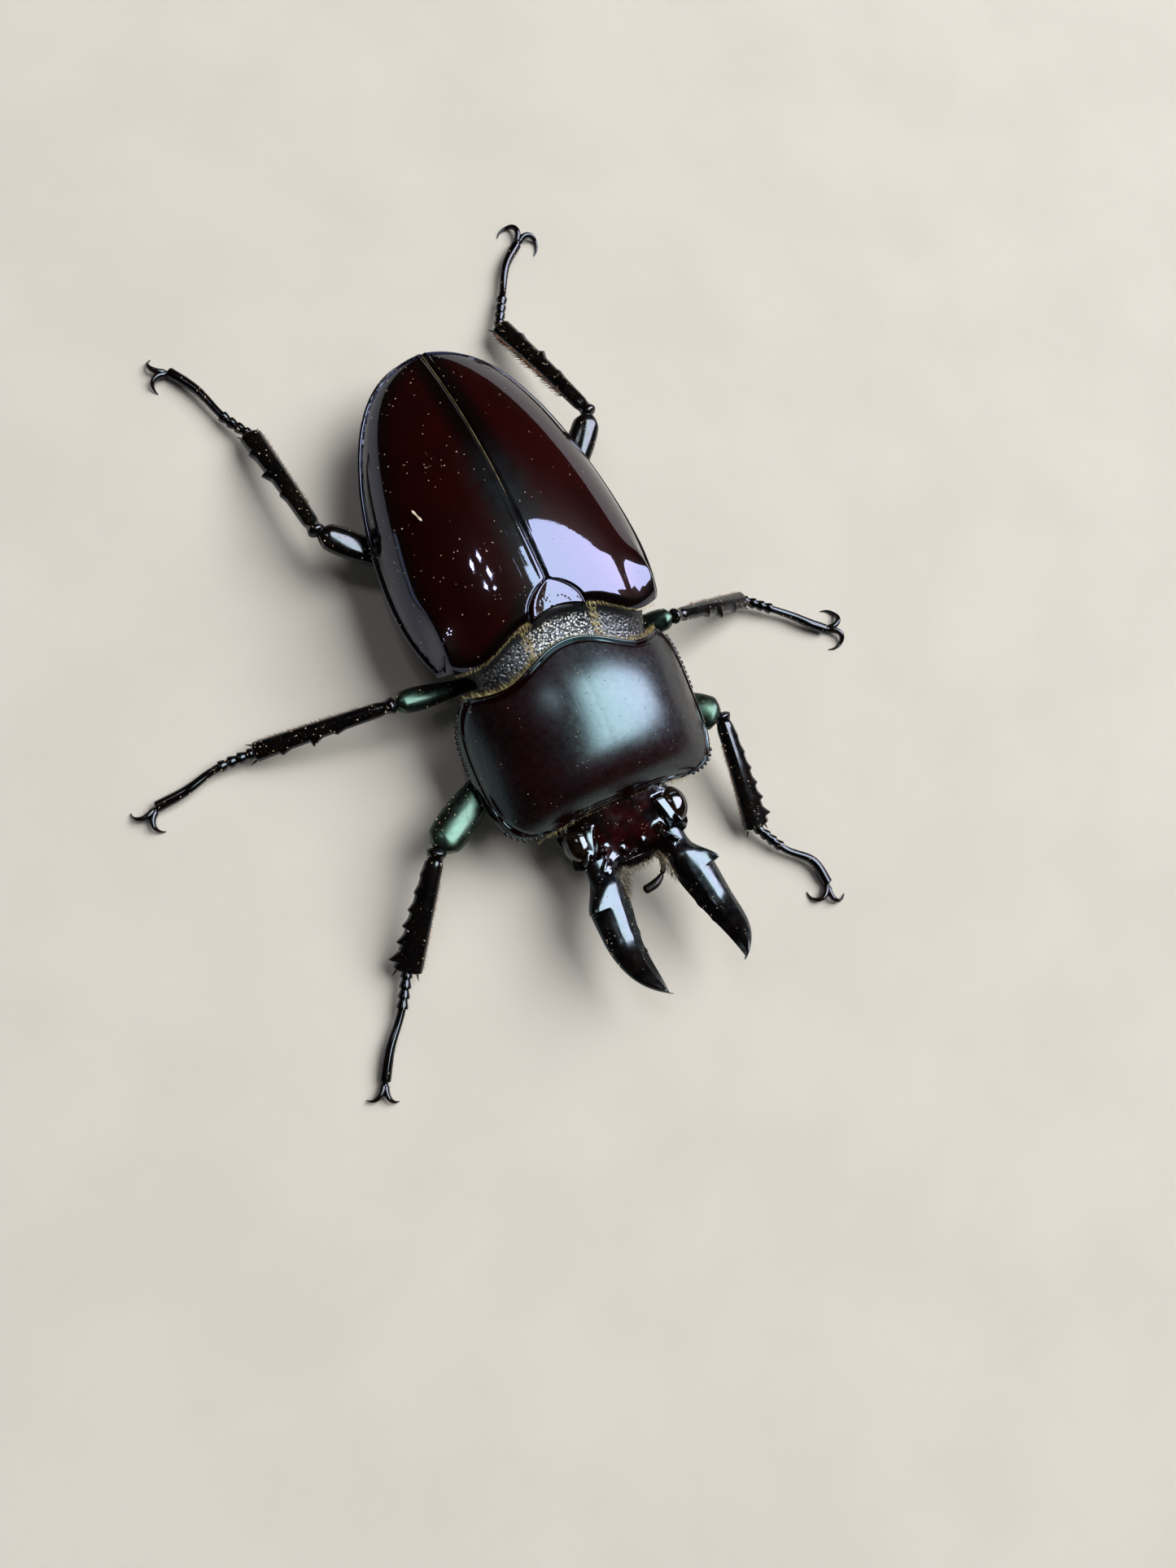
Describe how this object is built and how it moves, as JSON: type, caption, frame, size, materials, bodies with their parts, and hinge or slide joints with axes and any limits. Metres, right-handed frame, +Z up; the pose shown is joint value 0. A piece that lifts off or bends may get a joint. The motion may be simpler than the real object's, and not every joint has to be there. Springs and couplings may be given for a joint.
{
  "type": "stag beetle",
  "caption": "Still, life-size stag beetle standing on six clawed legs, with short curved mandibles, a broad satin pronotum and smooth domed wing cases.",
  "frame": {"origin": "on the floor, under the middle of the model's bounding box in plan", "axes": "-Y from the body towards the head and mandibles, +X the beetle's left side, +Z up"},
  "size_m": [0.0638, 0.0688, 0.0121],
  "materials": {
    "elytra": "mirror-gloss very dark mahogany",
    "pronotum": "satin very dark purplish brown",
    "head": "glossy dark red-brown, finely pitted at the sides",
    "mandible": "polished black",
    "leg": "satin black with a faint green sheen on the thighs",
    "belly": "satin dark brown",
    "collar": "grey, finely wrinkled",
    "eye": "polished black with fine facets",
    "palp": "satin red-brown",
    "hair": "short golden bristles",
    "dust": "pale dry dust"
  },
  "bodies": {
    "root": {"head": "head", "mentum": "belly", "labrum": "palp", "pronotum": "pronotum", "prothorax": "belly", "collar": "collar", "scutellum": "elytra", "metathorax": "belly", "abdomen_1": "belly", "abdomen_2": "belly", "abdomen_3": "belly", "abdomen_4": "belly", "abdomen_5": "belly", "elytron_left": "elytra", "eye_left": "eye", "mandible_left": "mandible", "antenna_scape_left": "leg", "antenna_club_left": "leg", "palp_left": "palp", "elytron_right": "elytra", "eye_right": "eye", "mandible_right": "mandible", "antenna_scape_right": "leg", "antenna_club_right": "leg", "palp_right": "palp", "coxa_front_left": "leg", "femur_front_left": "leg", "tibia_front_left": "leg", "tarsus_front_left": "leg", "claws_front_left": "leg", "coxa_front_right": "leg", "femur_front_right": "leg", "tibia_front_right": "leg", "tarsus_front_right": "leg", "claws_front_right": "leg", "coxa_middle_left": "leg", "femur_middle_left": "leg", "tibia_middle_left": "leg", "tarsus_middle_left": "leg", "claws_middle_left": "leg", "coxa_middle_right": "leg", "femur_middle_right": "leg", "tibia_middle_right": "leg", "tarsus_middle_right": "leg", "claws_middle_right": "leg", "coxa_hind_left": "leg", "femur_hind_left": "leg", "tibia_hind_left": "leg", "tarsus_hind_left": "leg", "claws_hind_left": "leg", "coxa_hind_right": "leg", "femur_hind_right": "leg", "tibia_hind_right": "leg", "tarsus_hind_right": "leg", "claws_hind_right": "leg"}
  },
  "joints": []
}
